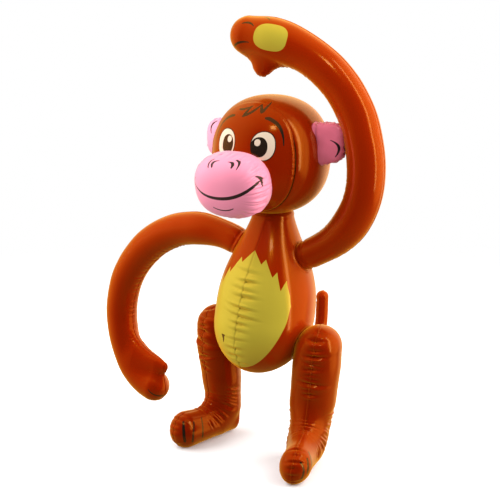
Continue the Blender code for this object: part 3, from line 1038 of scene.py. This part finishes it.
LEFT_TOE_LINES = (
    ((14.6, 36.6), (13.2, 8.6), 0.2, 0.7, 1.2, 0.9),
    ((5.0, 38.8), (7.6, 17.5), 1.2, 1.0, 1.9, 1.2),
    ((-5.0, 43.0), (-1.5, 23.0), 1.0, 1.0, 1.9, 1.2),
)


def limb_paint(matrix, line_side, palm_side, palm, lines):
    """Lines on one side of a limb's plane, and a palm patch on either side."""
    forward, _, across, origin = (Vector(matrix[:3, column]) for column in range(4))
    lean = float(matrix[:3, 1] @ matrix[:3, 2])
    facing = across - Vector((0, 0, lean))

    def paint(tree, colour):
        if palm:
            point, front = plate_point(tree, origin, forward, (0, 0, 1), facing * palm_side)
            colour = printed(tree, spot_mask(tree, point, *palm), front, colour, YELLOW)
        point, front = plate_point(tree, origin, forward, (0, 0, 1), facing * line_side)
        return printed(tree, strokes_mask(tree, point, lines), front, colour, PRINT_BLACK)
    return paint


# --- Studio -----------------------------------------------------------------------------
VIEW_TURN = math.radians(34.8)
VIEW_RISE = math.radians(12.7)
VIEW_TARGET = BODY_ORIGIN + Vector((-0.0229, -0.0038, 0.276))
VIEW_DISTANCE = 1.291
LENS = 69.84
# Bright studio walls as the film mirrors them: turn to the viewer's right, half width,
# softness of the edge and brightness in each colour. The last ones lie on top.
WALLS = (
    (180, 45, 0.10, (0.80, 0.55, 0.32)),
    (-105, 45, 0.30, (0.55, 0.28, 0.04)),
    (140, 34, 0.10, (1.6, 1.1, 0.65)),
    (78, 34, 0.03, (1.5, 0.78, 0.16)),
)
# The walls' middles are raised, and they are stretched upwards. Ceiling and ground fade in
# between two heights.
WALL_MIDDLE_Z = 0.25
WALL_STRETCH = (1.0, 1.0, 0.6)
DARKNESS = (0.01, 0.01, 0.01)
CEILING = (0.62, 0.31, 0.06)
CEILING_HEIGHTS = (0.6, 1.0)
GROUND = (0.26, 0.12, 0.03)
GROUND_HEIGHTS = (-0.30, -0.65)
SOFT_FILL = (0.42, 0.42, 0.42)
FLOOR_WHITE = (0.92, 0.92, 0.92, 1.0)
FLOOR_RADIUS = 1.4
FLOOR_DROP = 0.0002
FLOOR_FADES = (0.35, 1.3)
# Turn to the viewer's right, rise, distance, size, power, and whether the film mirrors it.
SOFTBOXES = {
    "right softbox": (52, 24, 1.9, (0.22, 3.0), 7, True),
    "left softbox": (-97, 28, 1.55, (2.0, 2.0), 51, False),
    "right fill": (86, 26, 1.55, (1.6, 2.0), 50, False),
    "top softbox": (180, 80, 2.6, (2.6, 2.6), 17, False),
    "front softbox": (4, 50, 1.8, (0.24, 0.22), 1.2, True),
}
LIT_PLACE = Vector((0.03, 0, 0.30))


def heading_of(turn):
    """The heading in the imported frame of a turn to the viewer's right, in degrees."""
    return -math.pi / 2 + VIEW_TURN + math.radians(turn)


def add_camera():
    camera = bpy.data.objects.new("camera", bpy.data.cameras.new("camera"))
    camera.data.lens = LENS
    camera.data.clip_start = 0.01
    bpy.context.scene.collection.objects.link(camera)
    level = math.cos(VIEW_RISE)
    look = Vector((-math.sin(VIEW_TURN) * level, math.cos(VIEW_TURN) * level, -math.sin(VIEW_RISE)))
    camera.location = VIEW_TARGET - look * VIEW_DISTANCE
    camera.rotation_euler = look.to_track_quat("-Z", "Y").to_euler()
    bpy.context.scene.camera = camera


def add_softbox(name, turn, rise, distance, size, power, glossy):
    """A rectangular light seen from the toy at a turn to the viewer's right, and a rise."""
    heading = heading_of(turn)
    lift = math.radians(rise)
    level = math.cos(lift)
    way = Vector((math.cos(heading) * level, math.sin(heading) * level, math.sin(lift)))
    data = bpy.data.lights.new(name, "AREA")
    data.shape = "RECTANGLE"
    data.size, data.size_y = size
    data.energy = power
    light = bpy.data.objects.new(name, data)
    light.visible_glossy = glossy
    bpy.context.scene.collection.objects.link(light)
    light.location = LIT_PLACE + way * distance
    light.rotation_euler = (-way).to_track_quat("-Z", "Y").to_euler()


def add_world():
    """Bright walls, ceiling and ground for the film to mirror, an even fill, and white to look at."""
    world = bpy.data.worlds.new("studio")
    bpy.context.scene.world = world
    world.use_nodes = True
    tree = world.node_tree
    tree.nodes.clear()
    way = tree.nodes.new("ShaderNodeTexCoord").outputs["Generated"]
    glow = DARKNESS
    for turn, reach, softness, shade in WALLS:
        heading = heading_of(turn)
        middle = (math.cos(heading), math.sin(heading), WALL_MIDDLE_Z)
        flat = vectors(tree, "NORMALIZE", vectors(tree, "MULTIPLY", way, WALL_STRETCH))
        towards = vectors(tree, "DOT_PRODUCT", flat, Vector(middle).normalized())
        edge = math.cos(math.radians(reach))
        wall = wire(tree, "ShaderNodeMapRange", towards, edge - softness, edge + softness)
        glow = layered(tree, wall.outputs[0], glow, shade)
    height = split(tree, way)[2]
    for heights, shade in ((CEILING_HEIGHTS, CEILING), (GROUND_HEIGHTS, GROUND)):
        part = wire(tree, "ShaderNodeMapRange", height, *heights)
        glow = layered(tree, part.outputs[0], glow, shade)
    path = tree.nodes.new("ShaderNodeLightPath").outputs
    glow = layered(tree, path["Is Diffuse Ray"], glow, SOFT_FILL)
    glow = layered(tree, path["Is Camera Ray"], glow, (1, 1, 1))
    background = wire(tree, "ShaderNodeBackground", glow)
    end = tree.nodes.new("ShaderNodeOutputWorld")
    tree.links.new(background.outputs[0], end.inputs["Surface"])


def fading_white():
    """The floor's finish: plain white that fades out well away from the toy."""
    material = bpy.data.materials.new("white floor")
    material.use_nodes = True
    tree = material.node_tree
    shader = tree.nodes["Principled BSDF"]
    shader.inputs["Base Color"].default_value = FLOOR_WHITE
    shader.inputs["Roughness"].default_value = 1.0
    place = tree.nodes.new("ShaderNodeTexCoord").outputs["Object"]
    away = vectors(tree, "LENGTH", place)
    fading = wire(tree, "ShaderNodeMapRange", away, *FLOOR_FADES, 1.0, 0.0,
                  interpolation_type="SMOOTHSTEP")
    tree.links.new(fading.outputs[0], shader.inputs["Alpha"])
    return material


def add_floor():
    bm = bmesh.new()
    bmesh.ops.create_circle(bm, cap_ends=True, segments=96, radius=FLOOR_RADIUS)
    bmesh.ops.translate(bm, verts=bm.verts, vec=(0, 0, -FLOOR_DROP))
    floor = bpy.data.objects.new("floor", mesh_from(bm, "floor"))
    bpy.context.scene.collection.objects.link(floor)
    floor.visible_glossy = False
    floor.visible_diffuse = False
    floor.data.materials.append(fading_white())


# --- Building ---------------------------------------------------------------------------
LIMBS = {
    # limb, the plane it lies in, and its relief
    "arm_left": (
        limb_shape(RAISED_ARM, RAISED_THUMB, THUMB_FLATNESS, 1.0, *RAISED_WEB),
        arm_plane(1, RAISED_ARM_SWEEP), arm_relief(1, 21)),
    "arm_right": (
        limb_shape(LOWERED_ARM, LOWERED_THUMB, THUMB_FLATNESS, 1.0, *LOWERED_WEB),
        arm_plane(-1, 0.0), arm_relief(-1, 22)),
    "leg_left": (
        limb_shape(LEFT_LEG, FOOT, FOOT_FLATNESS, HEEL_BLUNTNESS, *LEFT_ANKLE_WEB),
        limb_plane(LEFT_TOE, LEFT_TOE_OUT, LEFT_LEG_LEAN), leg_relief(23)),
    "leg_right": (
        limb_shape(RIGHT_LEG, FOOT, FOOT_FLATNESS, HEEL_BLUNTNESS, *RIGHT_ANKLE_WEB),
        limb_plane(RIGHT_TOE, RIGHT_TOE_OUT, RIGHT_LEG_LEAN), leg_relief(24)),
}


def outside_limb(points, name):
    shape, matrix, _ = LIMBS[name]
    height, _, _ = limb_field(placed(points, np.linalg.inv(matrix)), shape)
    return height


# The share of the torso's rows that lie below its widest place, and how near to an end of
# them a pole is.
LOW_ROWS = 0.35
POLE = 1e-6
# How the front seam stands out at the neck and at the belly, and where one turns into the
# other; then the groove in both seams. Spines are (height, width).
NECK_SEAM = (0.0018, 0.008)
BELLY_SEAM = (0.0009, 0.012)
NECK_SEAM_FROM = 0.255
NECK_SEAM_OVER = 0.03
SEAM_GROOVE = (0.0006, 0.0012)
# The heights of the folds across the belly's seam, and (from, to, spacing) for the back's.
BELLY_FOLDS = (0.258, 0.247, 0.2365, 0.228, 0.214, 0.204, 0.194, 0.185, 0.173, 0.160, 0.149, 0.139)
BELLY_FOLD = (0.0048, 0.0024, 0.016)
BELLY_FOLD_LEAN = 0.10
BACK_FOLDS, BACK_FOLD = (0.13, 0.3, 0.016), (0.0014, 0.0016, 0.014)
# How high the film is drawn up round each limb, and how it rolls there and round the neck.
LIMB_WELDS = {"arm_left": 0.0009, "arm_right": 0.0009, "leg_left": 0.0005, "leg_right": 0.0005}
LIMB_WELD_ROLL = (1.0, 0.0032, 0.0012)
LIMB_WELD_GROOVE = (-1.0, 0.0008, 0.0012)
NECK_ROLL = (0.0012, 0.006, 0.003)
NECK_GROOVE = (-0.0016, 0.0010, 0.0018)


def torso_ball():
    """The torso's smooth film, with each point's height, turn, way from the seam and place."""
    mesh, down, around = ball(TORSO_FACETS)
    seams = (-math.pi / 2, math.pi / 2)
    around = crowded(around, -math.pi, math.pi, seams, width=0.35, strength=1.5)
    rise = (math.pi - down) / math.pi
    polar = np.minimum(rise / LOW_ROWS * math.pi / 2, math.pi / 2)
    below = TORSO_WIDEST_Z - (TORSO_WIDEST_Z - TORSO_BOTTOM) * np.cos(polar)
    above = TORSO_WIDEST_Z + (TORSO_TOP - TORSO_WIDEST_Z) * (rise - LOW_ROWS) / (1 - LOW_ROWS)
    z = np.where(rise < LOW_ROWS, below, above)
    radius = np.where((rise > POLE) & (rise < 1 - POLE), torso_radius(z), 0.0)
    seam = radius * np.where(around < 0, around + math.pi / 2, around - math.pi / 2)
    seam_x = SEAM_X + SEAM_SLANT * (z - SEAM_Z)
    slant = np.arcsin(np.clip(seam_x / np.maximum(radius, 0.01), -0.5, 0.5))
    around = around + slant * np.cos((around + math.pi / 2) / 2) ** 2
    points = np.stack([radius * np.cos(around), radius * np.sin(around) + torso_centre_y(z), z], 1)
    points += np.array(BODY_ORIGIN)
    set_points(mesh, points)
    return mesh, z, around, seam, points


def torso_seam_relief(z, around, seam, rng):
    """The raised seam of the belly and neck, and the folds across it and the back's seam."""
    front = np.sin(around) < 0
    upper = np.clip((z - NECK_SEAM_FROM) / NECK_SEAM_OVER, 0, 1)
    height = upper * spine(seam, *NECK_SEAM) + (1 - upper) * spine(seam, *BELLY_SEAM)
    height = np.where(front, height, 0) - spine(seam, *SEAM_GROOVE)
    folds = gathers(z + BELLY_FOLD_LEAN * seam, seam, BELLY_FOLDS, rng, *BELLY_FOLD)
    height += folds * np.where(seam > 0, 1.0, 0.7) * front
    return height + ~front * gathers(z, seam, scattered(*BACK_FOLDS, rng), rng, *BACK_FOLD)


def build_torso():
    rng = np.random.default_rng(11)
    mesh, z, around, seam, points = torso_ball()
    height = torso_seam_relief(z, around, seam, rng)
    for name, lift in LIMB_WELDS.items():
        gap = outside_limb(points, name)
        height += lift * (ridge(gap, *LIMB_WELD_ROLL) + ridge(gap, *LIMB_WELD_GROOVE))
    neck = outside_head(points)
    height += ridge(neck, *NECK_ROLL) + ridge(neck, *NECK_GROOVE)
    raised(mesh, height + waviness(points, rng, *TORSO_SWELL))
    mark(mesh, "seam", seam / MM)
    mark_unfolded(mesh, points)
    add_skin("torso", mesh, vinyl("brown vinyl torso", BROWN, torso_paint))


# The head's face disc is welded to its back in a ring this far in front of the middle, which
# lies further back at its top and its bottom. Puckers lie round it, as (from, to, spacing) in
# degrees from the head's own left, deeper and closer together on that side. All of it fades
# in the upper part of the head, and so does the weld's dark line.
FACE_RING_AHEAD = 42.7 * MM
FACE_RING_SWEEP = math.radians(6.5)
RING_GROOVE = (0.0012, 0.0011)
RING_LIP = (0.0008, -0.0042, 0.0028)
LEFT_PUCKERS, LEFT_PUCKER = (-20, 80, 5.5), (0.0012, 0.0010, 0.0036, 0.3)
LEFT_PUCKERS_AHEAD = 0.0034
RING_PUCKERS, RING_PUCKER = (-175, 178, 11), (0.0006, 0.0009, 0.0055, 0.3)
RING_PUCKERS_AHEAD = 0.0030
RING_FADE_FROM = 0.020
RING_FADE_OVER = 0.016
RING_FADE = 0.75
LINE_FADE = 1.4
HEAD_SKIN_PROUD = 0.0002


def ways_out(down, around):
    """Directions from a centre, at angles down from the front pole and around it."""
    return np.stack([np.sin(down) * np.cos(around), -np.cos(down), np.sin(down) * np.sin(around)], 1)


def arc_spots(turns, radius, rng):
    """Unevenly spread places round a circle, as lengths along it."""
    return [math.radians(turn) * radius for turn in scattered(*turns, rng)]


def build_head():
    rng = np.random.default_rng(12)
    mesh, down, around = ball(HEAD_FACETS)
    ring = math.acos(FACE_RING_AHEAD / HEAD_RADIUS)
    down = crowded(down, 0, math.pi, (ring,), width=0.10, strength=2.0)
    seam = HEAD_RADIUS * (down - ring)
    ways = ways_out(down + FACE_RING_SWEEP * np.sin(around) ** 2 * bump(down - ring, 0.35), around)
    size = squared(np.stack([np.hypot(ways[:, 0], ways[:, 1]), ways[:, 2]], 1), HEAD_SQUARENESS)
    points = ways * (HEAD_RADIUS + HEAD_SKIN_PROUD) / size[:, None]
    points += np.array(HEAD_CENTRE + HEAD_SKIN_SHIFT)
    set_points(mesh, points)
    height = ridge(seam, *RING_LIP) - spine(seam, *RING_GROOVE)
    radius = HEAD_RADIUS * math.sin(ring)
    left = arc_spots(LEFT_PUCKERS, radius, rng)
    others = arc_spots(RING_PUCKERS, radius, rng)
    height += gathers(around * radius, seam + LEFT_PUCKERS_AHEAD, left, rng, *LEFT_PUCKER)
    height += gathers(around * radius, seam + RING_PUCKERS_AHEAD, others, rng, *RING_PUCKER)
    high = np.clip((points[:, 2] - HEAD_CENTRE.z - RING_FADE_FROM) / RING_FADE_OVER, 0, 1)
    raised(mesh, height * (1 - RING_FADE * high) + waviness(points, rng, *HEAD_SWELL))
    mark(mesh, "seam", np.abs(seam) / MM + LINE_FADE * high)
    mark_unfolded(mesh, points)
    # The head's brown is darkened as painted shade.
    material = vinyl("brown vinyl head", HEAD_SHADED_BROWN, face_paint, weld=0.8, haze=0.6)
    add_skin("head", mesh, material)


def pad(facets, centre, semi_axes, power, turn, rim=None):
    """A squared pad round its Y axis: rows run from its front pole to its back pole."""
    mesh, down, around = ball(facets)
    if rim:
        down = crowded(down, 0, math.pi, (math.pi / 2,), *rim)
    ways = ways_out(down, around)
    local = ways / squared(ways, power)[:, None] * np.array(semi_axes)
    set_points(mesh, local @ np.array(turn).T + np.array(centre))
    return mesh, down, around


# Folds round the muzzle's rim, at turns from its own left as on the head: how far round from
# the front's middle they lie, and how much further back the smaller ones are.
MUZZLE_RIM = 0.046
MUZZLE_FOLD_DOWN = math.radians(76)
RIM_FOLDS_BEHIND = 0.004
CHEEK_FOLDS, CHEEK_FOLD = (-95, 40, 6), (0.0030, 0.0015, 0.015, 0.12)
RIM_FOLDS, RIM_FOLD = (-178, 178, 9), (0.0021, 0.0013, 0.010, 0.12)
MUZZLE_ROOT = (-0.0012, 0.0, 0.0025)
NO_SEAM = 10.0


def build_muzzle():
    rng = np.random.default_rng(13)
    turn = Matrix.Rotation(MUZZLE_TILT, 3, "X")
    mesh, down, around = pad(
        MUZZLE_FACETS, MUZZLE_CENTRE + MUZZLE_SKIN_SHIFT, MUZZLE_SEMI_AXES + MUZZLE_SKIN_SWELL,
        MUZZLE_SQUARENESS, turn)
    points = points_of(mesh)
    cheek = arc_spots(CHEEK_FOLDS, MUZZLE_RIM, rng)
    others = arc_spots(RIM_FOLDS, MUZZLE_RIM, rng)
    inward = MUZZLE_RIM * (MUZZLE_FOLD_DOWN - down)
    height = gathers(around * MUZZLE_RIM, inward, cheek, rng, *CHEEK_FOLD)
    height += gathers(around * MUZZLE_RIM, inward + RIM_FOLDS_BEHIND, others, rng, *RIM_FOLD)
    height += ridge(outside_head(points), *MUZZLE_ROOT)
    raised(mesh, height + waviness(points, rng, *MUZZLE_SWELL))
    mark(mesh, "seam", np.full(len(down), NO_SEAM))
    mark_unfolded(mesh, points)
    add_skin("muzzle", mesh, pink_vinyl("muzzle", PINK, muzzle_paint))


# Folds round each ear's rim and the weld along it; the left ear's lower edge rises outward.
EAR_RIM = 0.024
EAR_FOLDS, EAR_FOLD = (-178, 178, 13), (0.0028, 0.0015, 0.011, 0.3)
EAR_RIM_CROWDING = (0.2, 1.5)
EAR_RIM_WELD = (0.0008, 0.0, 0.0008)
EAR_LIFT = (0.20, 0.0004, 0.026)
# How far in from its middle each ear's root is, and the roll, the groove and the line there.
EAR_ROOT = EAR_SEMI_AXES.x * 0.72
EAR_ROOT_LINE = 0.0045
EAR_ROOT_ROLL = (0.0020, 0.0, 0.0020)
EAR_ROOT_GROOVE = (-0.0014, 0.0040, 0.0018)


def build_ear(name, side):
    rng = np.random.default_rng(15 + side)
    centre = BODY_ORIGIN + Vector((side * EAR_ABOVE.x, *EAR_ABOVE.yz)) + EAR_SKIN_SHIFT[side]
    turn = Matrix.Rotation(side * EAR_SWEEP, 3, "Z")
    mesh, down, around = pad(
        EAR_FACETS, centre, EAR_SEMI_AXES, EAR_SQUARENESS[side], turn, EAR_RIM_CROWDING)
    points = points_of(mesh)
    local = (points - np.array(centre)) @ np.array(turn)
    edge = EAR_RIM * (down - math.pi / 2)
    height = gathers(around * EAR_RIM, edge, arc_spots(EAR_FOLDS, EAR_RIM, rng), rng, *EAR_FOLD)
    if side > 0:
        slope, lift, reach = EAR_LIFT
        points[:, 2] += (slope * local[:, 0] + lift) * np.clip(-local[:, 2] / reach, 0, 1)
        set_points(mesh, points)
    root = local[:, 0] * side + EAR_ROOT
    height += ridge(root, *EAR_ROOT_ROLL) + ridge(root, *EAR_ROOT_GROOVE)
    height += ridge(edge, *EAR_RIM_WELD)
    raised(mesh, height + waviness(points, rng, *EAR_SWELL))
    mark(mesh, "seam", (root - EAR_ROOT_LINE) / MM)
    mark_unfolded(mesh, points)
    material = pink_vinyl(name, EAR_PINK[side], ear_paint(side, centre, turn))
    add_skin(name, mesh, material)


# Each limb's brown, lighter than the torso's on the arms as painted light and darker on the legs as
# painted shade, and its prints: the lines' side, the palm's side, the palm and the lines.
LIMB_FINISHES = {
    "arm_left": (ARM_LIT_BROWN, -1, -1, RAISED_PALM, RAISED_FINGERS),
    "arm_right": (ARM_LIT_BROWN, 1, -1, LOWERED_PALM, LOWERED_FINGERS),
    "leg_left": (LEG_SHADED_BROWN, 1, 0, None, LEFT_TOE_LINES),
    "leg_right": (LEG_SHADED_BROWN, 1, 0, None, RIGHT_TOE_LINES),
}


def build_limb(name):
    shape, plane, relief = LIMBS[name]
    brown, *prints = LIMB_FINISHES[name]
    paint = limb_paint(plane, *prints)
    skin = limb_skin(shape, plane, relief)
    # The brown is lightened on the arms as painted light and darkened on the legs as painted shade.
    add_skin(name, skin, vinyl(f"brown vinyl {name}", brown, paint, weld=0.12))


TAIL_FOLDS, TAIL_FOLD = (0.07, 0.15, 0.012), (0.0012, 0.0012, 0.008)
TAIL_TIP_GROOVE = (-0.0009, -0.006, 0.0015)


def build_tail():
    rng = np.random.default_rng(14)
    line = centre_line(TAIL)
    bm = bmesh.new()
    tube_blank(bm, line)
    mesh = mesh_from(bm, "tail")
    points = points_of(mesh)
    across = points[:, 2]
    _, way, run = tube_field(points, line)
    end = line[2][-1]
    spots = [*scattered(*TAIL_FOLDS, rng), end - 0.003]
    height = weld_flange(across) + 0.4 * gathers(run, across, spots, rng, *TAIL_FOLD)
    height += ridge(run - end, *TAIL_TIP_GROOVE) * np.clip(across / 0.008, 0, 1)
    mark(mesh, "seam", across / MM)
    set_points(mesh, placed(points + way * height[:, None], limb_plane((0, 0), math.pi, 0.0)))
    add_skin("tail", mesh, vinyl("brown vinyl tail", BROWN))


def build_valve():
    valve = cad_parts["air_valve"]
    valve.data.materials.clear()
    valve.data.materials.append(vinyl("valve vinyl", VALVE_ORANGE))


add_camera()
build_torso()
build_head()
build_muzzle()
build_ear("ear_left", 1)
build_ear("ear_right", -1)
for limb_name in LIMBS:
    build_limb(limb_name)
build_tail()
build_valve()
add_floor()
add_world()
for box, setting in SOFTBOXES.items():
    add_softbox(box, *setting)
bpy.context.scene.view_settings.view_transform = "Standard"
